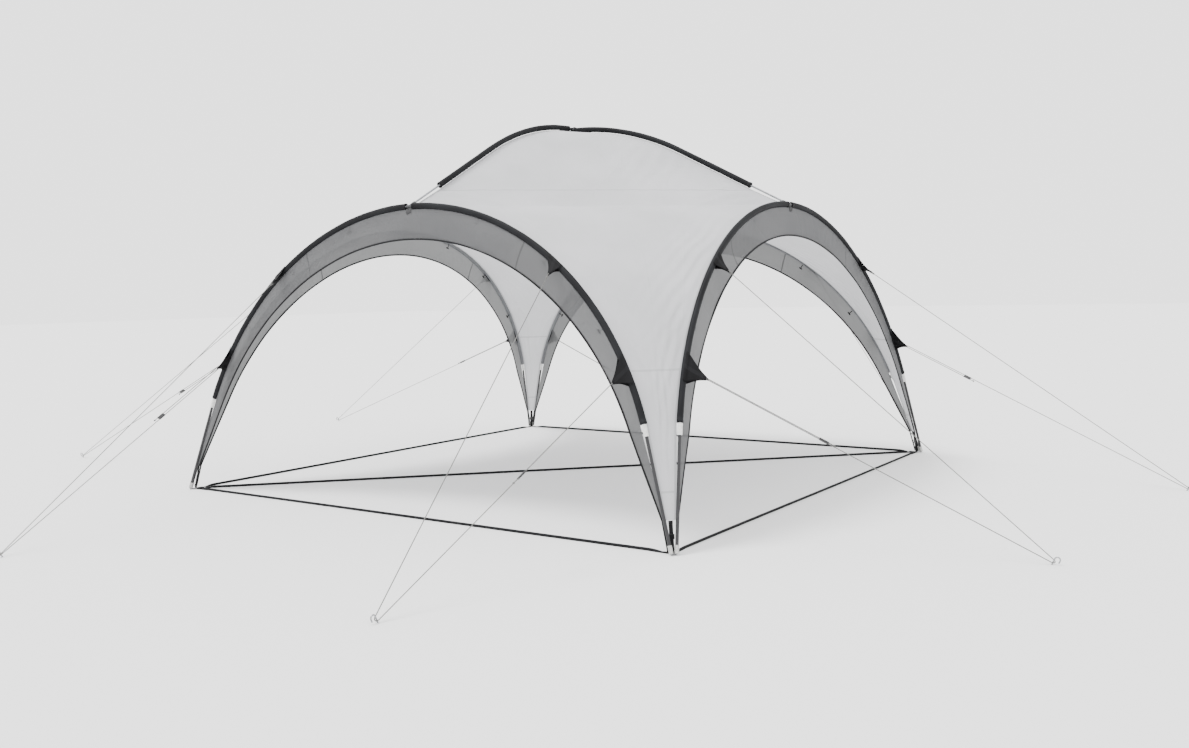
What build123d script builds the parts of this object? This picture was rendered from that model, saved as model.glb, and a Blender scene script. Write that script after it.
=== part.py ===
"""Tarp shelter: four leaning arches, two crossed roof poles and a sewn fly, pegged out with eight guys.

Frame: millimetres, +Z up, origin on the ground at the centre of the square base, sides along X and Y.
Sides are counted anticlockwise from the front (-Y): front, right, back, left. Each side has its own
x that runs along it, which is +X on the front and turns with the side.
"""
from build123d import *
from math import acos, atan2, cos, hypot, pi, radians, sin
import os

os.makedirs("parts", exist_ok=True)

# ---- driving dimensions -------------------------------------------------------------------------
BASE = 3500.0             # side of the square that the feet stand on
CROWN_HEIGHT = 2232.0     # between the crossed roof poles, at their centre
ARCH_LEAN = 7.7           # degrees that each arch leans in over the base
LEG_ANGLE = 17.5          # degrees that a leg leans along its own arch
LEG_RUN = 545.0           # straight part of an arch, up from the ground
FOOT_GAP = 16.0           # from the corner to each of its two feet, along the side
ROOF_RADIUS = 1750.0      # bend of a roof pole over the crown

POLE_R = 5.5              # glass fibre rod
POLE_RUNNING = 0.1        # clearance round a rod in a tube
LEG_R = 8.0               # steel leg tube
LEG_LAP = 60.0            # rod inside the leg
FERRULE_R, FERRULE_LENGTH = 12.0, 56.0   # on top of a leg, up to just below its sleeve
SLEEVE_R, SLEEVE_WALL = 18.0, 5.0
SLEEVE_START = 604.0      # along the arch from the ground
APEX_GAP = 21.0           # half of the break in a sleeve at the top of an arch
HUB_R, HUB_SOCKET_LENGTH = 8.6, 46.0
HUB_EASE = 0.15           # a hub's straight bore lets the bent pole through
ROOF_SLEEVE_START = 272.0  # bare roof pole between the arch and the roof sleeve
CROWN_GAP = 26.0          # half of the break in the roof sleeves at the crown
TIE_WALL, TIE_WIDTH = 2.0, 14.0   # strap round the two poles at the crown

CLOTH = 2.0               # canopy cloth with its seam allowance
SEAM_GAP = 0.6            # clearance between a sewn edge and its sleeve
PANEL_GAP = 0.3           # half of the gap between two panels of a gore
PANEL_SEAM = 857.0        # along the arch, the seam above the corner panel
TIP_HEIGHT = 150.0        # where the cloth ends above each corner, up the arch's slope
TIP_IN, TIP_SPREAD = 48.0, 52.0   # canopy tip: in from the corner both ways, and its width
VALANCE_CLOTH = 1.6
VALANCE_DEPTH = 180.0     # below the pole at the top of an arch
VALANCE_EASE = 26.0       # the lower edge's arc is this much smaller in radius than the pole's
VALANCE_TIP = 13.0        # width of the valance at its lower ends
LEG_CLEAR = 4.0           # between a leg and the valance beside it
BINDING_R = 2.4

RING_R, RING_WIRE_R, RING_IN = 15.0, 2.5, 32.0   # corner ring; in from the corner both ways
PIN_LENGTH, PIN_CLEAR = 34.0, 0.2                # pins of the ring, up inside the foot caps
CAP_R, CAP_TOP = 10.0, 46.0
CAP_TOE = 22.0                                   # where the leg tube seats in its cap
STRAP_HEIGHT, STRAP_THICK = 15.0, 1.8            # ground webbing, standing on edge
STRAP_CLEAR = 0.3
WEB_WIDTH, WEB_THICK = 20.0, 1.6                 # webbing from a corner ring up to the canopy tip
BUCKLE_RIM, BUCKLE_LENGTH, BUCKLE_PLATE, BUCKLE_CLEAR = 4.0, 24.0, 1.5, 0.5

LOW_PATCH_AT, LOW_PATCH_LENGTH, LOW_PATCH_REACH = 875.0, 150.0, 120.0   # at: middle, along the arch
HIGH_PATCH_AT, HIGH_PATCH_LENGTH, HIGH_PATCH_REACH = 1560.0, 100.0, 95.0
PATCH_THICK, PATCH_TAB_R, PATCH_EYE_R = 2.0, 7.0, 4.0
PATCH_SEWN = 1.0          # a patch's base runs this far into its sleeve

CORD_R = 2.0
EYE_BEND, PEG_BEND = 6.5, 7.0     # half width of a guy's turn at a patch eye and round a peg
RUNNER_LENGTH, RUNNER_RIM, RUNNER_CLEAR = 46.0, 3.4, 0.6
TAIL = 28.0               # guy beyond the runner
PEG_R, PEG_LENGTH, PEG_HOOK_R = 3.0, 225.0, 11.0
PEG_LEAN = 25.0           # degrees from upright, head away from the shelter
PEG_STANDS = 30.0         # shank above the ground
LOOP_HEIGHT = 14.0        # guy round the peg, above the ground

SIDES = ("front", "right", "back", "left")
CORNERS = ("front_right", "back_right", "back_left", "front_left")

# Each guy, by its side and end: its peg's place along the side and out from it, and the share of the
# guy's lower run at which the runner sits. Pegs go in where the ground takes them, so no two match.
GUYS = {
    "front_left": (-960.0, 1550.0, 0.31),
    "front_right": (1310.0, 1375.0, 0.44),
    "right_front": (-1095.0, 1435.0, 0.36),
    "right_back": (970.0, 1730.0, 0.25),
    "back_right": (-1120.0, 1600.0, 0.38),
    "back_left": (1120.0, 1600.0, 0.34),
    "left_back": (-1270.0, 1940.0, 0.24),
    "left_front": (1290.0, 1950.0, 0.27),
}

# ---- the arch: a straight leg, one arc over the top and a straight leg, in a leaning plane -------
half = BASE / 2
lean, leg_angle = radians(ARCH_LEAN), radians(LEG_ANGLE)
foot_x = half - FOOT_GAP
arch_radius = (foot_x - LEG_RUN * sin(leg_angle)) / cos(leg_angle)
arch_centre = LEG_RUN * cos(leg_angle) - arch_radius * sin(leg_angle)
arch_top = arch_centre + arch_radius
arch_half = LEG_RUN + arch_radius * (pi / 2 - leg_angle)
edge_inset = SLEEVE_R + SEAM_GAP


def turned(vector, side):
    """Turn a vector or point of the front side round to another side."""
    return Vector(vector).rotate(Axis.Z, 90 * side)


def side_plane(side, inward=0.0):
    """Plane of a side's arch, with y up its slope, moved into the shelter by a distance."""
    into = Vector(0, cos(lean), -sin(lean))
    origin = Vector(0, -half, 0) + into * inward
    return Plane(origin=turned(origin, side), x_dir=turned((1, 0, 0), side),
                 z_dir=turned(-into, side))


def on_arch(s, end=1, radial=0.0):
    """Point in an arch's plane at s from the ground up one half (end 1 or -1), moved out by radial."""
    if s <= LEG_RUN:
        x = foot_x - s * sin(leg_angle) + radial * cos(leg_angle)
        y = s * cos(leg_angle) + radial * sin(leg_angle)
    else:
        turn = leg_angle + (s - LEG_RUN) / arch_radius
        x = (arch_radius + radial) * cos(turn)
        y = arch_centre + (arch_radius + radial) * sin(turn)
    return end * x, y


def arch_point(side, s, end=1, inward=0.0, radial=0.0):
    """The same point in space."""
    x, y = on_arch(s, end, radial)
    return side_plane(side, inward).from_local_coords(Vector(x, y, 0))


def arch_arc(side, start, stop, end=1, inward=0.0):
    """Edge along the round part of one half of an arch."""
    places = (start, (start + stop) / 2, stop)
    return ThreePointArc(*[arch_point(side, s, end, inward) for s in places], mode=Mode.PRIVATE)


def arch_run(side, start, stop, end=1):
    """Edges up one half of an arch, leg and arc."""
    edges = []
    if start < LEG_RUN:
        knee = min(stop, LEG_RUN)
        edges.append(Line(arch_point(side, start, end), arch_point(side, knee, end), mode=Mode.PRIVATE))
    if stop > LEG_RUN:
        edges.append(arch_arc(side, max(start, LEG_RUN), stop, end))
    return edges


def tube(edges, outer, inner=0.0):
    """Add a round rod or tube along joined edges to the open part."""
    path = Wire(edges)
    with BuildSketch(Plane(origin=path @ 0, z_dir=path % 0)) as section:
        Circle(outer)
        if inner:
            Circle(inner, mode=Mode.SUBTRACT)
    sweep(section.sketch, path=path)


def panel(edge_a, edge_b, thickness):
    """Add a sheet stretched straight between two edges to the open part."""
    thicken(Face.make_surface_from_curves(edge_a, edge_b), amount=thickness / 2, both=True)


def save(builder, name):
    """Label a finished piece and write it out."""
    builder.part.label = name
    export_step(builder.part, f"parts/{name}.step")


# ---- corner rings: a wire ring on the ground with two arms that end in upright pins --------------
def corner(side):
    """Corner at the x end of a side: the side, its x end, and the next side from its own x start."""
    return ((side, 1), ((side + 1) % 4, -1))


ring_centre = [turned((half - RING_IN, -half + RING_IN, RING_WIRE_R), side) for side in range(4)]

with BuildPart() as corner_rings:
    for side in range(4):
        with Locations(ring_centre[side]):
            Torus(RING_R, RING_WIRE_R)
        for arch, end in corner(side):
            foot = arch_point(arch, 0, end)
            along = (arch_point(arch, 100, end) - foot).normalized()
            elbow = foot + along * (RING_WIRE_R / along.Z)
            rim = ring_centre[side] + (elbow - ring_centre[side]).normalized() * RING_R
            tube([Line(rim, elbow, mode=Mode.PRIVATE)], RING_WIRE_R)
            with Locations(elbow):
                Sphere(RING_WIRE_R)
            tube([Line(elbow, elbow + along * PIN_LENGTH, mode=Mode.PRIVATE)], RING_WIRE_R)
save(corner_rings, "corner_rings")

# ---- foot caps, legs, ferrules and arch poles ----------------------------------------------------
cap_lean = acos(cos(leg_angle) * cos(lean))
cap_start = (2 * RING_WIRE_R + CAP_R * sin(cap_lean) + PIN_CLEAR) / cos(cap_lean)   # clear of the arm
ferrule_top = LEG_RUN + FERRULE_LENGTH
pole_bore = POLE_R + POLE_RUNNING
ends = [(side, end) for side in range(4) for end in (-1, 1)]

with BuildPart() as foot_caps:
    for side, end in ends:
        tube(arch_run(side, cap_start, CAP_TOP, end), CAP_R, RING_WIRE_R + PIN_CLEAR)
    for side, end in ends:
        seat = arch_run(side, CAP_TOE, CAP_TOP + 1, end)
        with BuildSketch(Plane(origin=seat[0] @ 0, z_dir=seat[0] % 0)):
            Circle(LEG_R)
        extrude(amount=CAP_TOP + 1 - CAP_TOE, mode=Mode.SUBTRACT)
save(foot_caps, "foot_caps")

with BuildPart() as legs:
    for side, end in ends:
        tube(arch_run(side, CAP_TOE, LEG_RUN, end), LEG_R, pole_bore)
save(legs, "legs")

with BuildPart() as leg_ferrules:
    for side, end in ends:
        tube(arch_run(side, LEG_RUN, ferrule_top, end), FERRULE_R, pole_bore)
save(leg_ferrules, "leg_ferrules")

for side, name in enumerate(SIDES):
    left = arch_run(side, LEG_RUN - LEG_LAP, arch_half, -1)
    right = arch_run(side, LEG_RUN - LEG_LAP, arch_half, 1)
    with BuildPart() as arch_pole:
        tube(left + right, POLE_R)
    save(arch_pole, f"arch_pole_{name}")

# ---- arch sleeves: two on each arch, with a break at the top for the roof pole's hub -------------
for side, name in enumerate(SIDES):
    with BuildPart() as arch_sleeve:
        for end in (-1, 1):
            tube(arch_run(side, SLEEVE_START, arch_half - APEX_GAP, end), SLEEVE_R, SLEEVE_R - SLEEVE_WALL)
    save(arch_sleeve, f"arch_sleeve_{name}")

# ---- roof poles: straight up from the top of each arch, then an arc over the crown ----------------
arch_top_out = half - arch_top * sin(lean)
arch_top_z = arch_top * cos(lean)
pole_shift = POLE_R + 0.5              # the front-back pole crosses over the other by this, up and down
crown = [CROWN_HEIGHT + (pole_shift if side % 2 == 0 else -pole_shift) for side in range(4)]


def ridge(side, below=0.0):
    """Key points of half a roof pole, from a side's arch to the crown, moved down square to it.

    Returns a function for points on the straight part, its length, and one for the arc by its share.
    """
    centre_z = crown[side] - ROOF_RADIUS
    out, up = arch_top_out, arch_top_z - centre_z
    steep = atan2(up, out) + acos(ROOF_RADIUS / hypot(out, up))
    radius = ROOF_RADIUS - below
    touch = Vector(0, -radius * cos(steep), centre_z + radius * sin(steep))
    slope = Vector(0, sin(steep), cos(steep))
    length = Vector(0, -ROOF_RADIUS * cos(steep) + out, ROOF_RADIUS * sin(steep) - up).length

    def on_line(s, aside=0.0):
        return turned(touch - slope * (length - s) + Vector(aside, 0, 0), side)

    def on_arc(share, aside=0.0):
        angle = steep + (pi / 2 - steep) * share
        return turned((aside, -radius * cos(angle), centre_z + radius * sin(angle)), side)

    return on_line, length, on_arc, (pi / 2 - steep) * ROOF_RADIUS


def ridge_run(side, start, gap):
    """Edges along half a roof pole, from start on its straight part to a gap short of the crown."""
    on_line, length, on_arc, arc_length = ridge(side)
    stop = 1 - gap / arc_length
    return [Line(on_line(start), on_line(length), mode=Mode.PRIVATE),
            ThreePointArc(on_arc(0), on_arc(stop / 2), on_arc(stop), mode=Mode.PRIVATE)]


for side, name in ((0, "front_back"), (1, "left_right")):
    far = [Line(edge @ 1, edge @ 0, mode=Mode.PRIVATE) if index == 0 else
           ThreePointArc(edge @ 1, edge @ 0.5, edge @ 0, mode=Mode.PRIVATE)
           for index, edge in enumerate(ridge_run(side + 2, POLE_R + HUB_R / 2, 0))]
    with BuildPart() as roof_pole:
        tube(ridge_run(side, POLE_R + HUB_R / 2, 0) + far[::-1], POLE_R)
    save(roof_pole, f"roof_pole_{name}")
    with BuildPart() as roof_sleeve:
        for half_side in (side, side + 2):
            tube(ridge_run(half_side, ROOF_SLEEVE_START, CROWN_GAP), SLEEVE_R, SLEEVE_R - SLEEVE_WALL)
    save(roof_sleeve, f"roof_sleeve_{name}")

# ---- apex hubs: a collar on each arch pole with a socket for the roof pole's end ------------------
with BuildPart() as apex_hubs:
    for side in range(4):
        middle = arch_point(side, arch_half)
        on_line = ridge(side)[0]
        collar = Plane(origin=middle, x_dir=(0, 0, 1), z_dir=turned((1, 0, 0), side))
        socket = Plane(origin=on_line(0), x_dir=turned((1, 0, 0), side), z_dir=on_line(1) - on_line(0))
        with BuildSketch(collar) as collar_ring:
            Circle(HUB_R)
        with BuildSketch(socket) as socket_ring:
            Circle(HUB_R)
        with BuildSketch(collar) as collar_bore:
            Circle(pole_bore + HUB_EASE)
        with BuildSketch(socket.offset(POLE_R + HUB_R / 2)) as socket_bore:
            Circle(pole_bore)
        extrude(collar_ring.sketch, amount=APEX_GAP - 3, both=True)
        extrude(socket_ring.sketch, amount=HUB_SOCKET_LENGTH)
        extrude(collar_bore.sketch, amount=APEX_GAP, both=True, mode=Mode.SUBTRACT)
        extrude(socket_bore.sketch, amount=HUB_SOCKET_LENGTH, mode=Mode.SUBTRACT)
save(apex_hubs, "apex_hubs")

# ---- crown tie: a flat strap loop round both roof poles, set across the corner of the crossing ----
tie_opening = (2 * (POLE_R * 2 ** 0.5 + TIE_WIDTH / 2) + 2, 2 * (pole_shift + POLE_R) + 2)
with BuildPart() as crown_tie:
    with BuildSketch(Plane(origin=(0, 0, CROWN_HEIGHT), x_dir=(1, -1, 0), z_dir=(1, 1, 0))):
        RectangleRounded(tie_opening[0] + 2 * TIE_WALL, tie_opening[1] + 2 * TIE_WALL, 5)
        RectangleRounded(*tie_opening, 3, mode=Mode.SUBTRACT)
    extrude(amount=TIE_WIDTH / 2, both=True)
save(crown_tie, "crown_tie")

# ---- canopy: a gore at each corner, of a corner panel, a side panel and two roof panels -----------
apex_aside = 3.0          # the gores meet in a seam along the ridge, this far each side of it
ridge_step = ROOF_SLEEVE_START - 20
crown_stop = CROWN_GAP + 12


def cloth_side(side, end):
    """Edges that one gore shares with one arch and its roof pole, from its tip up to the crown."""
    aside = apex_aside * end
    on_line, length, on_arc, arc_length = ridge(side, edge_inset + CLOTH / 2)
    stop = 1 - crown_stop / arc_length
    tip_centre = (Vector(half - TIP_IN, -half + TIP_IN, TIP_HEIGHT * cos(lean)) if end == 1
                  else Vector(-half + TIP_IN, -half + TIP_IN, TIP_HEIGHT * cos(lean)))
    spread = TIP_SPREAD / 2 / 2 ** 0.5
    tip = turned(tip_centre + Vector(-end * spread, -spread, 0), side)
    top = arch_half - apex_aside
    low_edge = Line(tip, arch_point(side, SLEEVE_START, end, edge_inset), mode=Mode.PRIVATE)
    return [
        low_edge,
        arch_arc(side, SLEEVE_START + PANEL_GAP, PANEL_SEAM - PANEL_GAP, end, edge_inset),
        arch_arc(side, PANEL_SEAM + PANEL_GAP, top, end, edge_inset),
        Line(arch_point(side, top, end, edge_inset + 2 * PANEL_GAP), on_line(ridge_step, aside),
             mode=Mode.PRIVATE),
        Line(on_line(ridge_step + PANEL_GAP, aside), on_line(length, aside), mode=Mode.PRIVATE),
        ThreePointArc(on_arc(0.002, aside), on_arc(stop / 2, aside), on_arc(stop, aside),
                      mode=Mode.PRIVATE),
    ]


for side, name in enumerate(CORNERS):
    here, beyond = [cloth_side(arch, end) for arch, end in corner(side)]
    with BuildPart() as canopy:
        for edge_a, edge_b in zip(here, beyond):
            panel(edge_a, edge_b, CLOTH)
    save(canopy, f"canopy_{name}")

patch_top = crown[1] - edge_inset - 3 * CLOTH / 2 - SEAM_GAP
with BuildPart() as crown_patch:
    with BuildSketch(Plane.XY.offset(patch_top - CLOTH)):
        RectangleRounded(4 * crown_stop, 4 * crown_stop, crown_stop / 2)
    extrude(amount=CLOTH / 2)
save(crown_patch, "crown_patch")

# ---- valances: flat mesh hung in each arch, and the round binding along its lower edge -------------
tip_s = TIP_HEIGHT / cos(leg_angle)


def valance_edge(drop):
    """Lower edge of a valance, lowered by drop, as its tip and the point where the arc begins."""
    radius = arch_radius - VALANCE_EASE - drop
    centre = arch_top - VALANCE_DEPTH - drop - radius
    x, y = on_arch(tip_s, 1, -(LEG_R + LEG_CLEAR + VALANCE_TIP + drop))
    away = hypot(x, y - centre)
    angle = atan2(y - centre, x) + acos(radius / away)
    return (x, y), (radius * cos(angle), centre + radius * sin(angle)), (0, centre + radius)


def hem(drop):
    """The lower edge from tip to tip, as a line, an arc and a line."""
    tip, touch, middle = valance_edge(drop)
    Line((-tip[0], tip[1]), (-touch[0], touch[1]))
    ThreePointArc((-touch[0], touch[1]), middle, touch)
    Line(touch, tip)


for side, name in enumerate(SIDES):
    start = on_arch(SLEEVE_START, 1, -edge_inset)
    inner_tip = on_arch(tip_s, 1, -(LEG_R + LEG_CLEAR))
    low_tip = valance_edge(0)[0]
    with BuildPart() as valance:
        with BuildSketch(side_plane(side)):
            with BuildLine():
                hem(0)
                Polyline(low_tip, inner_tip, start)
                ThreePointArc(start, (0, arch_top - edge_inset), (-start[0], start[1]))
                Polyline((-start[0], start[1]), (-inner_tip[0], inner_tip[1]), (-low_tip[0], low_tip[1]))
            make_face()
        extrude(amount=VALANCE_CLOTH / 2, both=True)
    save(valance, f"valance_{name}")

with BuildPart() as valance_bindings:
    for side in range(4):
        with BuildLine(side_plane(side), mode=Mode.PRIVATE) as path:
            hem(BINDING_R + 0.05)
        tube(path.edges(), BINDING_R)
save(valance_bindings, "valance_bindings")

# ---- ground straps: webbing on edge along each side, and one from front left to back right --------
strap_end = RING_R + RING_WIRE_R + STRAP_CLEAR
with BuildPart() as ground_straps:
    for side in range(4):
        middle = turned((0, -half + RING_IN, STRAP_HEIGHT / 2), side)
        with Locations(Location(middle, (0, 0, 90 * side))):
            Box(2 * (half - RING_IN - strap_end), STRAP_THICK, STRAP_HEIGHT)
    with Locations(Location((0, 0, STRAP_HEIGHT / 2), (0, 0, 45))):
        Box(2 * ((half - RING_IN) * 2 ** 0.5 - strap_end), STRAP_THICK, STRAP_HEIGHT)
save(ground_straps, "ground_straps")

# ---- corner webbing and its sliding buckles --------------------------------------------------------
buckle_opening = (WEB_WIDTH + 2 * BUCKLE_CLEAR, WEB_THICK + 2 * BUCKLE_CLEAR)


def webbing_plane(side, s):
    """Plane across a corner's webbing at s from its ring, with x along the webbing's width."""
    low = ring_centre[side] + Vector(0, 0, RING_WIRE_R)
    tip = turned((half - TIP_IN, -half + TIP_IN, TIP_HEIGHT * cos(lean)), side)
    along = (tip - low).normalized()
    return Plane(origin=low + along * s, x_dir=turned((1, 1, 0), side), z_dir=along), (tip - low).length


with BuildPart() as corner_webbing:
    for side in range(4):
        start, length = webbing_plane(side, STRAP_CLEAR)
        with BuildSketch(start):
            Rectangle(WEB_WIDTH, WEB_THICK)
        extrude(amount=length - 2 * STRAP_CLEAR - CLOTH)
save(corner_webbing, "corner_webbing")

for side, name in enumerate(CORNERS):
    length = webbing_plane(side, 0)[1]
    with BuildPart() as buckle:
        with BuildSketch(webbing_plane(side, length / 2)[0]):
            Rectangle(buckle_opening[0] + 2 * BUCKLE_RIM, buckle_opening[1] + 2 * BUCKLE_PLATE)
            Rectangle(*buckle_opening, mode=Mode.SUBTRACT)
        extrude(amount=BUCKLE_LENGTH / 2, both=True)
    save(buckle, f"buckle_{name}")

# ---- guys: patches on the sleeves, the line, its runner and its peg --------------------------------
def peg_axis(side, place):
    """Where a peg enters the ground, and the way its head points."""
    out = Vector(0, -sin(radians(PEG_LEAN)), cos(radians(PEG_LEAN)))
    return turned((place[0], -half - place[1], 0), side), turned(out, side)


def patch_frame(side, end, at, reach, hitch):
    """Plane of a patch, along the arch and towards its peg, and the patch's eye in space."""
    middle = arch_point(side, at, end)
    along = (arch_point(side, at + 1, end) - arch_point(side, at - 1, end)).normalized()
    pull = (hitch - middle).normalized()
    return Plane(origin=middle, x_dir=along, z_dir=along.cross(pull)), middle + pull * reach


def patch(frame, eye, length):
    """Add a cloth triangle with a round eyed tab at its tip to the open part."""
    tip = frame.to_local_coords(eye)
    base = SLEEVE_R - PATCH_SEWN
    square = Vector(-tip.Y, tip.X).normalized() * PATCH_TAB_R
    with BuildSketch(frame) as cloth:
        with BuildLine():
            Polyline((length / 2, base), (-length / 2, base), (tip.X + square.X, tip.Y + square.Y),
                     (tip.X - square.X, tip.Y - square.Y), close=True)
        make_face()
        with Locations((tip.X, tip.Y)):
            Circle(PATCH_TAB_R)
            Circle(PATCH_EYE_R, mode=Mode.SUBTRACT)
    extrude(cloth.sketch, amount=PATCH_THICK / 2, both=True)


guys = {}
for index, (name, (place, out, share)) in enumerate(GUYS.items()):
    side, end = index // 2, 1 if index % 2 else -1
    ground, head = peg_axis(side, (place, out))
    hitch = ground + head * (LOOP_HEIGHT / head.Z)
    low = patch_frame(side, end, LOW_PATCH_AT, LOW_PATCH_REACH, hitch)
    high = patch_frame(side, end, HIGH_PATCH_AT, HIGH_PATCH_REACH, hitch)
    up_high, up_low = (high[1] - hitch).normalized(), (low[1] - hitch).normalized()
    homeward = (up_high + up_low).normalized()
    across = (up_high - up_low).normalized()
    turn_high = hitch - homeward * PEG_BEND + across * PEG_BEND
    turn_low = hitch - homeward * PEG_BEND - across * PEG_BEND
    flat = low[0].z_dir
    eye_in, eye_out = low[1] + flat * EYE_BEND, low[1] - flat * EYE_BEND
    pegward = (turn_low - eye_in).normalized()
    runner_at = (turn_low - eye_in).length * share
    start = high[1] + (turn_high - high[1]).normalized() * (PATCH_TAB_R + STRAP_CLEAR)
    finish = eye_out + pegward * (runner_at + RUNNER_LENGTH / 2 + TAIL)
    guys[name] = dict(side=side, ground=ground, head=head, low=low, high=high, pegward=pegward,
                      flat=flat, runner=(eye_in + eye_out) * 0.5 + pegward * runner_at,
                      route=[start, turn_high, turn_low, eye_in, eye_out, finish])

with BuildPart() as low_patches:
    for guy in guys.values():
        patch(*guy["low"], LOW_PATCH_LENGTH)
save(low_patches, "guy_patches_low")

with BuildPart() as high_patches:
    for guy in guys.values():
        patch(*guy["high"], HIGH_PATCH_LENGTH)
save(high_patches, "guy_patches_high")

for name, guy in guys.items():
    points = guy["route"]
    radii = []
    for before, corner_point, after, width in zip(points, points[1:], points[2:],
                                                 (PEG_BEND, PEG_BEND, EYE_BEND, EYE_BEND)):
        bend = radians((corner_point - before).get_angle(after - corner_point))
        radii.append(min(width, 0.96 * width * cos(bend / 2) / sin(bend / 2)))
    route = FilletPolyline(*points, radius=radii)
    with BuildPart() as line:
        tube(route.edges(), CORD_R)
    save(line, f"guy_{name}")
    swept = line.part.volume / (pi * CORD_R ** 2)
    print(f"guy_{name}: length {route.length:.0f} mm, from its volume {swept:.0f} mm, radii",
          [round(radius, 1) for radius in radii])
    print("   route", [tuple(round(value, 1) for value in tuple(point)) for point in points])

# The runner is drilled for the run from the peg and for the one that comes back from the eye.
bore_r = CORD_R + RUNNER_CLEAR
for name, guy in guys.items():
    along, flat = guy["pegward"], guy["flat"]
    back = Plane(origin=guy["runner"] - along * (RUNNER_LENGTH / 2), x_dir=flat, z_dir=along)
    spacing = 2 * abs(back.to_local_coords(guy["route"][3]).X)
    with BuildPart() as runner:
        with BuildSketch(back):
            SlotCenterToCenter(spacing, 2 * (bore_r + RUNNER_RIM / 2))
            with Locations((-spacing / 2, 0), (spacing / 2, 0)):
                Circle(bore_r, mode=Mode.SUBTRACT)
        extrude(amount=RUNNER_LENGTH)
    save(runner, f"runner_{name}")
    print(f"runner_{name}: axis {tuple(round(value, 6) for value in tuple(along * -1))}")

# ---- pegs: a round steel shank, pointed, with its head bent over away from the shelter -------------
for name, guy in guys.items():
    head, ground = guy["head"], guy["ground"]
    out = turned((0, -1, 0), guy["side"])
    square = (out - head * out.dot(head)).normalized()
    neck = ground + head * PEG_STANDS
    crook = neck + square * PEG_HOOK_R
    bend = ThreePointArc(neck, crook + head * PEG_HOOK_R, crook + square * PEG_HOOK_R, mode=Mode.PRIVATE)
    tip = bend @ 1
    shank_end = neck - head * (PEG_LENGTH - 5 * PEG_R)
    with BuildPart() as peg:
        tube([Line(shank_end, neck, mode=Mode.PRIVATE), bend,
              Line(tip, tip - head * PEG_HOOK_R, mode=Mode.PRIVATE)], PEG_R)
        with BuildSketch(Plane(origin=shank_end, z_dir=-head)):
            Circle(PEG_R)
        with BuildSketch(Plane(origin=shank_end - head * 5 * PEG_R, z_dir=-head)):
            Circle(PEG_R / 4)
        loft()
    save(peg, f"peg_{name}")
    print(f"peg_{name}: axis {tuple(round(value, 6) for value in tuple(head))}")

for side, name in enumerate(CORNERS):
    along = webbing_plane(side, 0)[0].z_dir
    print(f"buckle_{name}: axis {tuple(round(value, 6) for value in tuple(along))}")
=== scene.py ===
import bmesh
import bpy
import math
from mathutils import Matrix, Vector, noise


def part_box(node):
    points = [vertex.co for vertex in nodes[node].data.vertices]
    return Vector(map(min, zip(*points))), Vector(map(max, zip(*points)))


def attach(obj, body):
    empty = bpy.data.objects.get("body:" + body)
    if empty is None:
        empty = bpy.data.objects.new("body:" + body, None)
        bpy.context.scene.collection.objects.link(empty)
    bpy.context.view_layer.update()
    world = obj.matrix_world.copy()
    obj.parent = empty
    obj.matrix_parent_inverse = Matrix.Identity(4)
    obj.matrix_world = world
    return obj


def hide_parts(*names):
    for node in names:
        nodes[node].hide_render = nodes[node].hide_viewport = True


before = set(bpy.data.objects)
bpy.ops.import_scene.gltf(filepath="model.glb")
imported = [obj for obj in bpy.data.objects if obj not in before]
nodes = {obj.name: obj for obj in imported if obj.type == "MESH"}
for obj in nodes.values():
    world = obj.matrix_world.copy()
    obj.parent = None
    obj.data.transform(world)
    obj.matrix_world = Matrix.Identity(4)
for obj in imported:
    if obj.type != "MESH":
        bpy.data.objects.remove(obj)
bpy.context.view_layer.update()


def placed(name, data):
    """A new object in the scene."""
    made = bpy.data.objects.new(name, data)
    bpy.context.scene.collection.objects.link(made)
    return made


# ---- camera ----
# 1.2 m up and 4.7 m off the front right corner, looking slightly down.
camera_data = bpy.data.cameras.new("camera")
camera_data.lens = 32.725
camera_data.sensor_width = 36.0
camera_data.clip_end = 200.0
camera = placed("camera", camera_data)
camera.matrix_world = (
    Matrix.Translation((4.1261, -5.8305, 1.1683))
    @ Matrix.Rotation(math.radians(34.335), 4, "Z")
    @ Matrix.Rotation(math.radians(90 - 4.269), 4, "X")
    @ Matrix.Rotation(math.radians(-1.151), 4, "Z")
)
bpy.context.scene.camera = camera

# ---- the frame's lines ----
# Every cloth and cord below is drawn off the same arches and ridges that the poles follow, in metres.
HALF = 1.75
LEAN = math.radians(7.7)
LEG_ANGLE = math.radians(17.5)
LEG_RUN = 0.545
FOOT_X = HALF - 0.016
ARCH_R = (FOOT_X - LEG_RUN * math.sin(LEG_ANGLE)) / math.cos(LEG_ANGLE)
ARCH_MID = LEG_RUN * math.cos(LEG_ANGLE) - ARCH_R * math.sin(LEG_ANGLE)
ARCH_TOP = ARCH_MID + ARCH_R
ARCH_HALF = LEG_RUN + ARCH_R * (math.pi / 2 - LEG_ANGLE)
CROWN = 2.232
ROOF_R = 1.75
POLE_SHIFT = 0.006
SLEEVE_R = 0.018
INSET = 0.0186
SLEEVE_START = 0.604
APEX_GAP = 0.021
ROOF_SLEEVE_START, CROWN_GAP = 0.272, 0.026   # along a roof pole, and half of the break at the crown
RIDGE_STEP = 0.252                            # where a gore's edge comes up to the roof pole
RIDGE_LENGTH = 1.6515                         # along a roof pole from an arch's top to the crown
LEG_R, LEG_CLEAR = 0.008, 0.004
RING_R, RING_WIRE, RING_IN = 0.015, 0.0025, 0.032
SIDES = ("front", "right", "back", "left")
CORNERS = ("front_right", "back_right", "back_left", "front_left")


def turned(v, side):
    """A point or direction of the front side, turned round to another side."""
    return Matrix.Rotation(math.radians(90 * side), 3, "Z") @ Vector(v)


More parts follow.
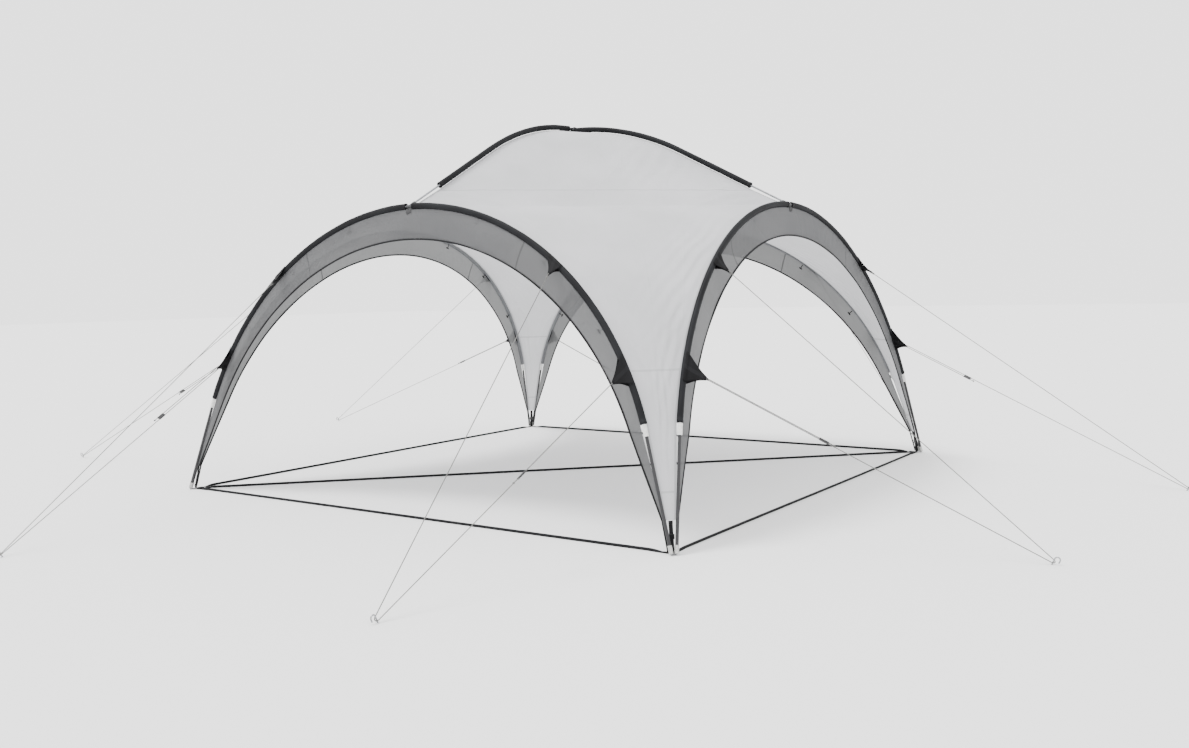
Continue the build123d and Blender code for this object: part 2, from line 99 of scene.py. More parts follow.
def in_plane(side, x, y, inward=0.0):
    """Point on a side's leaning plane, x along the side and y up its slope."""
    return turned((x, -HALF + y * math.sin(LEAN) + inward * math.cos(LEAN),
                   y * math.cos(LEAN) - inward * math.sin(LEAN)), side)


def on_arch(s, end=1, radial=0.0):
    """Plane coordinates at s from the ground up one half of an arch."""
    if s <= LEG_RUN:
        x = FOOT_X - s * math.sin(LEG_ANGLE) + radial * math.cos(LEG_ANGLE)
        return end * x, s * math.cos(LEG_ANGLE) + radial * math.sin(LEG_ANGLE)
    turn = LEG_ANGLE + (s - LEG_RUN) / ARCH_R
    return end * (ARCH_R + radial) * math.cos(turn), ARCH_MID + (ARCH_R + radial) * math.sin(turn)


def arch(side, s, end=1, inward=0.0, radial=0.0):
    """Point in space at s up one half of an arch."""
    return in_plane(side, *on_arch(s, end, radial), inward)


def arch_axes(side, s, end):
    """At a place on an arch: the way up it, outward in its plane, and out of the shelter."""
    along = (arch(side, s + 0.001, end) - arch(side, s - 0.001, end)).normalized()
    outward = (arch(side, s, end, 0, 0.01) - arch(side, s, end)).normalized()
    return along, outward, (arch(side, s, end, -0.01) - arch(side, s, end)).normalized()


def ridge(side, s, below=0.0, aside=0.0):
    """Point s along a roof pole from the top of a side's arch, moved down square to the pole."""
    middle = CROWN + (POLE_SHIFT if side % 2 == 0 else -POLE_SHIFT) - ROOF_R
    out, up = HALF - ARCH_TOP * math.sin(LEAN), ARCH_TOP * math.cos(LEAN) - middle
    steep = math.atan2(up, out) + math.acos(ROOF_R / math.hypot(out, up))
    length = math.hypot(out - ROOF_R * math.cos(steep), ROOF_R * math.sin(steep) - up)
    radius = ROOF_R - below
    if s <= length:
        y = -radius * math.cos(steep) - math.sin(steep) * (length - s)
        return turned((aside, y, middle + radius * math.sin(steep) - math.cos(steep) * (length - s)), side)
    turn = steep + (s - length) / ROOF_R
    return turned((aside, -radius * math.cos(turn), middle + radius * math.sin(turn)), side)


# Centres of the corner rings, front right first.
rings = [turned((HALF - RING_IN, -HALF + RING_IN, 0), side) for side in range(4)]

# ---- helpers for meshes and materials ----
def linear(code):
    """Linear colour from an sRGB hex code."""
    parts = [int(code[i:i + 2], 16) / 255 for i in (1, 3, 5)]
    return tuple(c / 12.92 if c <= 0.04045 else ((c + 0.055) / 1.055) ** 2.4 for c in parts) + (1.0,)


def put(tree, kind, inputs=None, **settings):
    """Add a shader node with its settings, and with its inputs set or linked."""
    made = tree.nodes.new(kind)
    for name, value in settings.items():
        setattr(made, name, value)
    for name, value in (inputs or {}).items():
        if isinstance(value, bpy.types.NodeSocket):
            tree.links.new(value, made.inputs[name])
        else:
            made.inputs[name].default_value = value
    return made


def sums(tree, operation, *values):
    """Output of one arithmetic node."""
    return put(tree, "ShaderNodeMath", dict(enumerate(values)), operation=operation).outputs[0]


def blend_colours(tree, share, a, b):
    """Colour a, going to b by share."""
    return put(tree, "ShaderNodeMix", {0: share, 6: a, 7: b}, data_type="RGBA").outputs[2]


def band(tree, value, low, high, at_low=0.0, at_high=1.0):
    """A value mapped smoothly from one range to another."""
    return put(tree, "ShaderNodeMapRange", {0: value, 1: low, 2: high, 3: at_low, 4: at_high},
               interpolation_type="SMOOTHSTEP").outputs[0]


def new_material(name):
    """An empty material with a Principled shader joined to its output."""
    material = bpy.data.materials.new(name)
    material.use_nodes = True
    tree = material.node_tree
    return material, tree, tree.nodes["Principled BSDF"]


def grain(tree, vector, scale, detail=3.0, rough=0.55):
    """Noise at a scale in repeats to the metre."""
    return put(tree, "ShaderNodeTexNoise", {"Vector": vector, "Scale": scale, "Detail": detail,
                                            "Roughness": rough}).outputs[0]


def bumped(tree, shader, height, distance, strength=1.0):
    """Join a height in metres to a shader's normal."""
    made = put(tree, "ShaderNodeBump", {"Height": height, "Distance": distance, "Strength": strength})
    tree.links.new(made.outputs[0], shader.inputs["Normal"])
    return made.outputs[0]


def grid_mesh(name, rows, places, material, closed=False, hems=None):
    """Mesh through rows of points. places holds each point's place on the flat cloth in metres."""
    wide = len(rows[0])
    verts = [tuple(p) for row in rows for p in row]
    steps = wide if closed else wide - 1
    faces, corners = [], []
    for j in range(len(rows) - 1):
        for i in range(steps):
            k = (i + 1) % wide
            faces.append((j * wide + i, j * wide + k, (j + 1) * wide + k, (j + 1) * wide + i))
            corners.append(((j, i), (j, i + 1), (j + 1, i + 1), (j + 1, i)))
    mesh = bpy.data.meshes.new(name)
    mesh.from_pydata(verts, [], faces)
    for label, source in (("cloth", places), ("hem", hems)):
        if source is None:
            continue
        layer = mesh.uv_layers.new(name=label)
        flat = [value for face in corners for j, i in face for value in source[j][i]]
        layer.data.foreach_set("uv", flat)
    mesh.polygons.foreach_set("use_smooth", [True] * len(faces))
    mesh.materials.append(material)
    return placed(name, mesh)


def finish_piece(made, slot, *replaced):
    """Fasten a piece to the frame and let it stand for CAD nodes. Its slot is not used."""
    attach(made, "frame")
    if replaced:
        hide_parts(*replaced)
    return made


def dress(material, slot, *names):
    """Give CAD nodes a material."""
    for name in names:
        nodes[name].data.materials.clear()
        nodes[name].data.materials.append(material)


def joined(objects, name):
    """Several meshes made one."""
    with bpy.context.temp_override(active_object=objects[0], selected_editable_objects=objects):
        bpy.ops.object.join()
    objects[0].name = name
    return objects[0]


def gusts(p, size, seed):
    """Smooth noise from -1 to 1 with a size in metres."""
    return noise.noise(Vector((p[0] / size + seed, p[1] / size - seed, seed * 0.37)))


# Outline of a strip with eased edges, in halves of its width and thickness, and shares of its width.
STRIP_SECTION = ((-1, -0.5), (-0.96, -1), (0, -1), (0.96, -1), (1, -0.5),
                 (1, 0.5), (0.96, 1), (0, 1), (-0.96, 1), (-1, 0.5))
STRIP_ACROSS = (0.0, 0.04, 0.5, 0.96, 1.0, 1.0, 0.96, 0.5, 0.04, 0.0)


def strip(name, centres, widths, width, thick, material, loop=False):
    """A flat strip along centres, turned so that its width lies along widths, with rounded edges."""
    rows, places, up = [], [], 0.0
    count = len(centres)
    for j, centre in enumerate(centres):
        before = centres[j - 1] if (j or loop) else centres[0]
        after = centres[(j + 1) % count] if (j + 1 < count or loop) else centres[-1]
        along = (after - before).normalized()
        wide = widths[j] - along * widths[j].dot(along)
        wide.normalize()
        square = along.cross(wide).normalized()
        rows.append([centre + wide * (a * width / 2) + square * (b * thick / 2) for a, b in STRIP_SECTION])
        if j:
            up += (centre - centres[j - 1]).length
        place = [(across * width, up) for across in STRIP_ACROSS]
        places.append(place + [place[0]])
    if loop:
        rows.append(rows[0])
        places.append([(u, up + 0.005) for u, _ in places[0]])
    made = grid_mesh(name, rows, places, material, closed=True)
    if not loop:
        shape = bmesh.new()
        shape.from_mesh(made.data)
        shape.verts.ensure_lookup_table()
        shape.faces.new([shape.verts[k] for k in range(9, -1, -1)])
        last = len(shape.verts) - 10
        shape.faces.new([shape.verts[last + k] for k in range(10)])
        shape.to_mesh(made.data)
        shape.free()
    return made


# ---- cloths ----
# One recipe serves every cloth. The weave, creases and stitched seams lie in metres on the flat piece.
WAVES = 0.314             # a wave texture at this scale repeats once a metre


def weave(tree, flat, pitch):
    """Height of a plain weave from 0 to 1, with warp and weft crossing at a pitch in metres."""
    turns = WAVES / pitch
    warp, weft = [put(tree, "ShaderNodeTexWave", {"Vector": flat, "Scale": turns, "Distortion": 0.6,
                                                  "Detail": 1.0}, bands_direction=way).outputs[1]
                  for way in ("X", "Y")]
    return sums(tree, "MULTIPLY", warp, weft)


def cloth_material(name, lit, worn, through, share, pitch, clear=0.0, creased=0.0008, seams=(),
                   across=(), hem=0.0, rough=0.78, sheen=0.5):
    """Woven cloth that passes some light, with fold creases and darker doubled seams and hems.

    seams lie at distances up the cloth and across at distances along it, all in metres.
    """
    material, tree, shader = new_material(name)
    shader.inputs["Specular IOR Level"].default_value = sheen
    flat = put(tree, "ShaderNodeUVMap", uv_map="cloth").outputs[0]
    place = put(tree, "ShaderNodeSeparateXYZ", {0: flat}).outputs
    tone = band(tree, grain(tree, flat, 1.6, 4.0), 0.35, 0.65)
    colour = blend_colours(tree, tone, lit, worn)
    threads = weave(tree, flat, pitch)
    colour = blend_colours(tree, sums(tree, "MULTIPLY", threads, 0.10), colour, worn)
    masks = []
    for value, at in [(place[1], at) for at in seams] + [(place[0], at) for at in across]:
        gap = sums(tree, "ABSOLUTE", sums(tree, "SUBTRACT", value, at))
        masks.append(band(tree, gap, 0.004, 0.0065, 1.0, 0.0))
    if hem:
        from_edge = put(tree, "ShaderNodeUVMap", uv_map="hem").outputs[0]
        edges = put(tree, "ShaderNodeSeparateXYZ", {0: from_edge}).outputs
        near = sums(tree, "MINIMUM", edges[0], edges[1])
        masks.append(band(tree, near, hem, hem + 0.0015, 1.0, 0.0))
    light = through
    if masks:
        doubled = masks[0]
        for mask in masks[1:]:
            doubled = sums(tree, "MAXIMUM", doubled, mask)
        colour = blend_colours(tree, sums(tree, "MULTIPLY", doubled, 0.5), colour, worn)
        dark = tuple(c * 0.45 for c in through[:3]) + (1.0,)
        light = blend_colours(tree, doubled, through, dark)
    creases = put(tree, "ShaderNodeTexVoronoi", {"Vector": put(tree, "ShaderNodeMapping", {
        "Vector": flat, "Scale": (1.0, 0.55, 1.0), "Rotation": (0.0, 0.0, 0.35)}).outputs[0],
        "Scale": 3.2}, feature="DISTANCE_TO_EDGE").outputs[0]
    fold = band(tree, creases, 0.0, 0.02, 1.0, 0.0)
    drape = grain(tree, put(tree, "ShaderNodeMapping", {
        "Vector": flat, "Scale": (1.0, 0.35, 1.0), "Rotation": (0.0, 0.0, -0.5)}).outputs[0], 9.0, 5.0, 0.6)
    height = sums(tree, "ADD", sums(tree, "MULTIPLY", fold, creased),
                  sums(tree, "MULTIPLY", drape, creased * 6))
    height = sums(tree, "ADD", height, sums(tree, "MULTIPLY", threads, 0.00012))
    if masks:
        height = sums(tree, "ADD", height, sums(tree, "MULTIPLY", doubled, 0.0006))
    normal = bumped(tree, shader, height, 1.0, 0.9)
    tree.links.new(colour, shader.inputs["Base Color"])
    tree.links.new(band(tree, threads, 0.0, 1.0, rough, rough + 0.1), shader.inputs["Roughness"])
    glow = put(tree, "ShaderNodeBsdfTranslucent", {"Color": light, "Normal": normal}).outputs[0]
    both = put(tree, "ShaderNodeMixShader", {0: share, 1: shader.outputs[0], 2: glow}).outputs[0]
    if clear:
        bare = put(tree, "ShaderNodeBsdfTransparent").outputs[0]
        holes = sums(tree, "MULTIPLY", sums(tree, "SUBTRACT", 1.0, doubled), clear)
        both = put(tree, "ShaderNodeMixShader", {0: holes, 1: both, 2: bare}).outputs[0]
    tree.links.new(both, tree.nodes["Material Output"].inputs["Surface"])
    return material


# ---- canopy ----
# Four gores of light grey coated polyester. Each runs from a tip above its corner ring up between two
# arches, past the seam from one arch top to the other, and on between two ridges to the crown.
TIP_UP, TIP_IN, TIP_SPREAD = 0.150, 0.048, 0.054
PANEL_SEAM = 0.857
APEX_ASIDE = 0.003
COLUMNS = 81


def gore_stations():
    """(kind, distance) up the edge of a gore, close enough together to show its folds."""
    made = [("tip", i / 14) for i in range(14)]
    made += [("arch", SLEEVE_START + (ARCH_HALF - APEX_ASIDE - SLEEVE_START) * i / 92) for i in range(93)]
    made += [("apex", i / 8) for i in range(1, 8)]
    return made + [("ridge", RIDGE_STEP + (RIDGE_LENGTH - RIDGE_STEP) * i / 48) for i in range(49)]


def gore_edge(side, end, kind, at):
    """Point on the edge that a gore shares with one arch and its ridge."""
    if kind == "arch":
        return arch(side, at, end, INSET)
    if kind == "ridge":
        return ridge(side, at, INSET + 0.001, APEX_ASIDE * end * min(1.0, (RIDGE_LENGTH - at) / 0.05))
    if kind == "tip":
        spread = TIP_SPREAD / 2 / math.sqrt(2)
        low = turned((end * (HALF - TIP_IN - spread), -HALF + TIP_IN - spread, TIP_UP * math.cos(LEAN)),
                     side)
        return low.lerp(arch(side, SLEEVE_START, end, INSET), at)
    return arch(side, ARCH_HALF - APEX_ASIDE, end, INSET).lerp(
        ridge(side, RIDGE_STEP, INSET + 0.001, APEX_ASIDE * end), at)


# Pull folds: where on the cloth (across, up), the way they run in degrees, their pitch, length, width
# and height.
PULLS = (
    (0.50, 1.30, 52, 0.060, 0.46, 0.26, 0.0085),
    (0.36, 1.02, 58, 0.055, 0.34, 0.14, 0.0060),
    (-0.55, 1.40, -50, 0.065, 0.34, 0.20, 0.0045),
    (0.16, 0.80, 68, 0.050, 0.30, 0.10, 0.0060),
    (-0.17, 0.84, -66, 0.052, 0.30, 0.10, 0.0050),
    (0.02, 0.42, 88, 0.034, 0.30, 0.06, 0.0040),
    (0.86, 2.30, 20, 0.080, 0.36, 0.14, 0.0055),
    (-0.88, 2.32, -18, 0.080, 0.36, 0.14, 0.0050),
    (0.40, 2.75, 60, 0.095, 0.40, 0.24, 0.0040),
)


def pull_height(x, y, seed):
    """Height of the pull folds at a place on the cloth."""
    total = 0.0
    for index, (at_x, at_y, angle, pitch, length, width, height) in enumerate(PULLS):
        turn = math.radians(angle + 6 * math.sin(seed * 3.1 + index))
        dx, dy = x - at_x * (1 + 0.08 * math.sin(seed + index)), y - at_y
        along = dx * math.cos(turn) + dy * math.sin(turn)
        across = -dx * math.sin(turn) + dy * math.cos(turn)
        across += 0.10 * along * math.sin(index + seed)
        reach = math.exp(-(along / length) ** 2 - (across / width) ** 2)
        if reach > 0.02:
            wander = 0.9 * gusts((along, across), 0.25, seed + index)
            total += height * reach * math.cos(2 * math.pi * across / pitch + 3 * wander)
    return total


# How far up the flat cloth each station lies, measured along the middle of the first gore.
gore_ups = []
stations = gore_stations()
flat_up = 0.0
previous = None
for kind, at in stations:
    a, b = gore_edge(0, 1, kind, at), gore_edge(1, -1, kind, at)
    middle = (a + b) / 2
    if previous is not None:
        flat_up += (middle - previous).length
    gore_ups.append(flat_up)
    previous = middle


def up_at(kind, at):
    """Height up the flat cloth of the station nearest to a place."""
    return min(zip(stations, gore_ups), key=lambda pair: (pair[0][0] != kind, abs(pair[0][1] - at)))[1]


# Polyester taffeta with a matt coating, light grey. The weave is drawn at 3 mm, not its true 0.3 mm, so
# that it still shows close up. Light through it keeps the undersides nearly as pale as the top.
canopy_cloth = cloth_material(
    "canopy_polyester_coated", linear("#BFBFC2"), linear("#B3B4B6"), linear("#C6C6C8"), 0.30, 0.003,
    seams=(up_at("tip", 0.25), up_at("arch", PANEL_SEAM), up_at("ridge", 0.0)), hem=0.010, creased=0.0006)

for index, name in enumerate(CORNERS):
    rows, places, hems = [], [], []
    beyond = (index + 1) % 4
    centre = Vector((0, 0, 0.4))
    for (kind, at), up in zip(stations, gore_ups):
        a, b = gore_edge(index, 1, kind, at), gore_edge(beyond, -1, kind, at)
        chord = (b - a).length
        if kind == "arch":
            share = (at - SLEEVE_START) / (ARCH_HALF - SLEEVE_START)
            sag = 0.016 * math.sin(math.pi * share) ** 1.2
        elif kind == "ridge":
            sag = 0.020 * math.sin(math.pi * (at - RIDGE_STEP) / (RIDGE_LENGTH - RIDGE_STEP)) ** 1.1
        else:
            sag = 0.0
        row, place, hem = [], [], []
        for i in range(COLUMNS):
            u = i / (COLUMNS - 1)
            x = (u - 0.5) * chord
            point = a.lerp(b, u)
            bell = 4 * u * (1 - u)
            held = min(1.0, min(u, 1 - u) * chord / 0.10) * min(1.0, up / 0.06)
            height = -sag * chord * bell
            if kind != "ridge" or at < RIDGE_LENGTH - 0.05:
                height += held * (pull_height(x, up, index * 1.7)
                                  + 0.0035 * gusts((x, up), 0.45, index + 2.0)
                                  + 0.0012 * gusts((x, up * 0.6), 0.12, index + 5.0))
            inward = point - centre
            if kind in ("tip", "arch") and up < 1.9:
                inward.z *= 0.35
            point += inward.normalized() * height
            row.append(point)
            place.append((x, up))
            hem.append((u * chord, (1 - u) * chord))
        rows.append(row)
        places.append(place)
        hems.append(hem)
    gore = grid_mesh(f"gore_{name}", rows, places, canopy_cloth, hems=hems)
    finish_piece(gore, "canopy_cloth", f"canopy_{name}")

# ---- sleeves ----
# Charcoal woven polyester sewn into flat tubes round the poles. Each one is a little wider than the rod
# in it, puckers along its seam, and ends in a turned hem.
sleeve_cloth = cloth_material(
    "sleeve_polyester_charcoal", linear("#121214"), linear("#1E1F21"), linear("#101011"), 0.04, 0.0035,
    creased=0.0007, rough=0.68, sheen=0.12)


def sleeve_rows(spine, axes, start, stop, seed, step=0.014):
    """Rows of a flattened tube along a spine, with hems and an inner wall at both of its ends.

    Each run is a place along the spine, a radius, and 1 where the cloth is loose enough to pucker.
    """
    count = max(12, round((stop - start) / step))
    stops = [start + (stop - start) * i / count for i in range(count + 1)]
    hem = 0.012
    runs = [(start + 0.020, 0.0105, 0), (start + 0.001, 0.0118, 0)]
    runs += [(start, 0.0160, 0), (start + 0.0015, 0.0172, 0), (start + hem, 0.0180, 0)]
    runs += [(start + hem + 0.001, 0.0160, 1)]
    runs += [(s, 0.0165, 1) for s in stops if start + hem + 0.008 < s < stop - hem - 0.008]
    runs += [(stop - hem - 0.001, 0.0160, 1), (stop - hem, 0.0172, 0), (stop - 0.0015, 0.0172, 0)]
    runs += [(stop, 0.0160, 0), (stop - 0.001, 0.0118, 0), (stop - 0.020, 0.0105, 0)]
    rows, places = [], []
    around = 22
    for s, radius, loose in runs:
        centre = spine(s)
        up, away = axes(s)
        row, place = [], []
        for i in range(around):
            angle = 2 * math.pi * i / around
            c, d = math.cos(angle), math.sin(angle)
            pinch = 0.82 + 0.10 * c
            r = radius
            if loose:
                r += 0.0006 * gusts((s, d * 0.02), 0.06, seed)
                r += 0.0009 * gusts((s * 0.9, c * 0.03), 0.11, seed + 4)
                r += 0.0005 * max(0.0, -c) * math.sin(2 * math.pi * s / 0.031 + 2 * gusts((s, 0), 0.2, seed))
            row.append(centre + up * (r * c) + away * (r * d * pinch))
            place.append((i * 0.0052, s))
        place.append((around * 0.0052, s))
        rows.append(row)
        places.append(place)
    return rows, places


for side, name in enumerate(SIDES):
    halves = []
    for end in (-1, 1):
        rows, places = sleeve_rows(lambda s: arch(side, s, end), lambda s: arch_axes(side, s, end)[1:],
                                   SLEEVE_START, ARCH_HALF - APEX_GAP, side * 2.3 + end)
        halves.append(grid_mesh(f"sleeve_{name}", rows, places, sleeve_cloth, closed=True))
    finish_piece(joined(halves, f"sleeve_{name}"), "sleeve_cloth", f"arch_sleeve_{name}")

# The inner side of each sleeve is faced with the valance's grey cloth, which runs on behind the hub.
# Its colour is drawn lighter than the valance cloth's own grey: the extra lightness is painted light.
facing_cloth = cloth_material(
    "facing_polyester_grey_painted_light", linear("#6C6D70"), linear("#77797B"), linear("#5C6060"), 0.20, 0.003,
    creased=0.0006, rough=0.74, sheen=0.3)
for side, name in enumerate(SIDES):
    rows, places = [], []
    steps = 300
    for j in range(steps + 1):
        t = 2 * j / steps - 1
        s = ARCH_HALF - (ARCH_HALF - SLEEVE_START) * abs(t)
        end = 1 if t > 0 else -1
        row, place = [], []
        for i in range(9):
            angle = math.radians(186 - 17 * i)
            r = INSET + 0.0005 * gusts((t * 2, i * 0.3), 0.08, side)
            row.append(arch(side, s, end, r * math.sin(angle) * 0.86, r * math.cos(angle)))
            place.append((i * 0.0055, (1 + t) * ARCH_HALF))
        rows.append(row)
        places.append(place)
    finish_piece(grid_mesh(f"facing_{name}", rows, places, facing_cloth), "valance_mesh")

for side, name in ((0, "front_back"), (1, "left_right")):
    halves = []
    for way in (side, side + 2):
        def roof_axes(s):
            along = (ridge(way, s + 0.001) - ridge(way, s - 0.001)).normalized()
            across = turned((1, 0, 0), way)
            return across.cross(along).normalized(), across
        rows, places = sleeve_rows(lambda s: ridge(way, s), roof_axes, ROOF_SLEEVE_START,
                                   RIDGE_LENGTH - CROWN_GAP, way * 1.9)
        halves.append(grid_mesh(f"roof_{name}", rows, places, sleeve_cloth, closed=True))
    finish_piece(joined(halves, f"roof_{name}"), "sleeve_cloth", f"roof_sleeve_{name}")

# ---- valances ----
# Thin grey polyester, slightly see-through, hung below each arch. It is cut in three with a seam at
# each side, billows a little, and gathers towards its points.
VALANCE_SEAM = 1.77
DEPTH, EASE, TIP_WIDE = 0.180, 0.026, 0.013
TIP_S = TIP_UP / math.cos(LEG_ANGLE)
hem_r = ARCH_R - EASE
hem_mid = ARCH_TOP - DEPTH - hem_r
hem_tip = Vector(on_arch(TIP_S, 1, -(LEG_R + LEG_CLEAR + TIP_WIDE)))
hem_reach = math.hypot(hem_tip.x, hem_tip.y - hem_mid)
hem_turn = math.atan2(hem_tip.y - hem_mid, hem_tip.x) + math.acos(hem_r / hem_reach)
hem_touch = Vector((hem_r * math.cos(hem_turn), hem_mid + hem_r * math.sin(hem_turn)))
hem_straight = (hem_touch - hem_tip).length
hem_total = hem_straight + hem_r * (math.pi / 2 - hem_turn)


def lower_at(share):
    """Half of a valance's lower edge, from the tip to the middle: straight, then round an arc."""
    s = share * hem_total
    if s < hem_straight:
        return hem_tip.lerp(hem_touch, s / hem_straight)
    angle = hem_turn + (s - hem_straight) / hem_r
    return Vector((hem_r * math.cos(angle), hem_mid + hem_r * math.sin(angle)))


upper_start = Vector(on_arch(TIP_S, 1, -LEG_R - LEG_CLEAR))
sleeve_low = Vector(on_arch(SLEEVE_START, 1, -INSET))
upper_straight = (sleeve_low - upper_start).length
upper_total = upper_straight + (ARCH_HALF - SLEEVE_START) * (ARCH_R - INSET) / ARCH_R


def upper_at(share):
    """Half of a valance's upper edge, from the tip to the middle."""
    s = share * upper_total
    if s < upper_straight:
        return upper_start.lerp(sleeve_low, s / upper_straight)
    return Vector(on_arch(SLEEVE_START + (s - upper_straight) * ARCH_R / (ARCH_R - INSET), 1, -0.0175))


def drawn_in(side, end, share):
    """Shift that brings a valance's ends in to the tip of the canopy, from the sleeve's end down."""
    own = in_plane(side, end * upper_start.x, upper_start.y)
    return (gore_edge(side, end, "tip", 0.0) - own) * max(0.0, 1 - share * upper_total / upper_straight)


seam_share = (upper_straight + (VALANCE_SEAM - SLEEVE_START)) / upper_total
seam_at = (1 - seam_share) * upper_total
# Grey polyester, thinner than the canopy's: a twentieth of what is behind it shows through, and it
# glows where the light is behind it.
valance_cloth = cloth_material(
    "valance_polyester_thin", linear("#4B4B4D"), linear("#565657"), linear("#707171"), 0.42, 0.003,
    clear=0.05, creased=0.0008, across=(-seam_at, seam_at), hem=0.006, rough=0.72, sheen=0.3)
valance_cloth.blend_method = "BLEND"

# Pleats: how far along the edge from the middle, their spread, pitch and height.
PLEATS = ((0.02, 0.16, 0.036, 0.0022), (1.07, 0.20, 0.042, 0.0030),
          (1.75, 0.22, 0.034, 0.0030), (0.62, 0.25, 0.060, 0.0018))
steps_wide, steps_down = 260, 14
for side, name in enumerate(SIDES):
    rows, places, hems = [], [], []
    for j in range(steps_down + 1):
        down = j / steps_down
        row, place, hem = [], [], []
        for i in range(steps_wide + 1):
            t = 2 * i / steps_wide - 1
            share = 1 - abs(t)
            upper, lower = upper_at(share), lower_at(share)
            flat = upper.lerp(lower, down)
            way = 1 if t > 0 else -1
            deep = (upper - lower).length
            x = way * (1 - share) * upper_total
            pleat = 0.0
            for centre, spread, pitch, tall in PLEATS:
                near = math.exp(-((abs(x) - centre) / spread) ** 2)
                pleat += tall * near * math.cos(2 * math.pi * (x + 0.55 * down * deep) / pitch
                                                + 2.4 * gusts((x, down), 0.3, side + centre))
            billow = (0.010 * math.sin(math.pi * down) * math.sin(3 * x + side)
                      + 0.006 * gusts((x, deep * down), 0.30, side + 9))
            free = min(1.0, deep / 0.10) * min(1.0, 4 * down) * min(1.0, 5 * (1 - down) + 0.35)
            out = (billow + pleat * (1 - 0.6 * down)) * free
            row.append(in_plane(side, way * flat.x, flat.y, -out) + drawn_in(side, way, share))
            place.append((x, down * deep))
            hem.append((1.0, (1 - down) * deep))
        rows.append(row)
        places.append(place)
        hems.append(hem)
    made = grid_mesh(f"hanging_{name}", rows, places, valance_cloth, hems=hems)
    finish_piece(made, "valance_mesh", f"valance_{name}")


# ---- webbing ----
# Straps, tapes and bindings share one black webbing, ribbed along its length.
def webbing_material(name, lit, worn, rib, pick):
    """Flat woven strap: ribs along it, a fine pick across, and worn, slightly greyer patches."""
    material, tree, shader = new_material(name)
    shader.inputs["Specular IOR Level"].default_value = 0.12
    flat = put(tree, "ShaderNodeUVMap", uv_map="cloth").outputs[0]
    ribs = put(tree, "ShaderNodeTexWave", {"Vector": flat, "Scale": WAVES / rib},
               bands_direction="X").outputs[1]
    picks = put(tree, "ShaderNodeTexWave", {"Vector": flat, "Scale": WAVES / pick, "Distortion": 1.2},
                bands_direction="Y").outputs[1]
    wear = band(tree, grain(tree, flat, 24.0, 4.0), 0.45, 0.75)
    colour = blend_colours(tree, sums(tree, "MULTIPLY", ribs, picks), lit, worn)
    colour = blend_colours(tree, sums(tree, "MULTIPLY", wear, 0.35), colour, worn)
    tree.links.new(colour, shader.inputs["Base Color"])
    tree.links.new(band(tree, picks, 0.0, 1.0, 0.55, 0.75), shader.inputs["Roughness"])
    height = sums(tree, "ADD", sums(tree, "MULTIPLY", ribs, 0.0003), sums(tree, "MULTIPLY", picks, 0.00025))
    bumped(tree, shader, height, 1.0, 1.0)
    return material


black_webbing = webbing_material("webbing_polypropylene_black", linear("#0E0E0F"), linear("#222326"),
                                 0.0022, 0.0026)

# ---- hem bindings ----
# A black tape is folded over the lower edge of each valance and sewn through. At both ends it runs on
# beyond the cloth, down to the side of the corner ring.
BIND_WIDE, BIND_THICK = 0.0085, 0.0042
for side, name in enumerate(SIDES):
    centres, widths = [], []
    for i in range(241):
        t = 2 * i / 240 - 1
        share = 1 - abs(t)
        p = lower_at(share)
        way = 1 if t >= 0 else -1
        centres.append(in_plane(side, way * p.x, p.y, 0.0006 * math.sin(40 * t))
                       + drawn_in(side, way, share))
        widths.append(in_plane(side, way * p.x, p.y) - in_plane(side, 0, hem_mid))
    for end in (-1, 1):
        foot = rings[side] if end > 0 else rings[(side + 3) % 4]
        ring_side = foot + 0.0195 * turned((-end, -1, 0), side).normalized() + Vector((0, 0, 0.012))
        last = -1 if end > 0 else 0
        run_on = [centres[last].lerp(ring_side, k / 8) for k in range(1, 9)]
        wide = [widths[last]] * 8
        centres = centres + run_on if end > 0 else run_on[::-1] + centres
        widths = widths + wide if end > 0 else wide + widths
    tape = strip(f"binding_{name}", centres, widths, BIND_WIDE, BIND_THICK, black_webbing)
    finish_piece(tape, "black_webbing", *(["valance_bindings"] if side == 0 else []))

# ---- toggles ----
# Six short tapes to an arch, sewn in along the sleeve, each with a bar at its end.
for side, name in enumerate(SIDES):
    made = []
    for end in (-1, 1):
        for at in (1.12, 1.62, 2.14):
            along, outward, away = arch_axes(side, at, end)
            root = arch(side, at, end, 0.017, -0.016)
            centres = [root - outward * (0.028 * k / 6) - away * (0.004 * math.sin(math.pi * k / 6))
                       for k in range(7)]
            made.append(strip(f"tie_{name}", centres, [along] * 7, 0.006, 0.0015, black_webbing))
            bar = centres[-1] - outward * 0.003
            made.append(strip(f"tie_{name}", [bar + along * (0.012 * (k - 2) / 2) for k in range(5)],
                              [outward] * 5, 0.007, 0.007, black_webbing))
    finish_piece(joined(made, f"ties_{name}"), "black_webbing")

# ---- apex tabs ----
# A tab of the grey valance cloth laps under each hub, in the break between the two sleeves.
for side, name in enumerate(SIDES):
    centres = []
    for k in range(9):
        centres.append(in_plane(side, 0.004 * math.sin(k), ARCH_TOP - 0.0115 - 0.030 * k / 8,
                                -0.003 - 0.004 * math.sin(math.pi * k / 8)))
    tab = strip(f"apex_tab_{name}", centres, [turned((1, 0, 0), side)] * 9, 0.034, 0.0016, valance_cloth)
    finish_piece(tab, "valance_mesh")

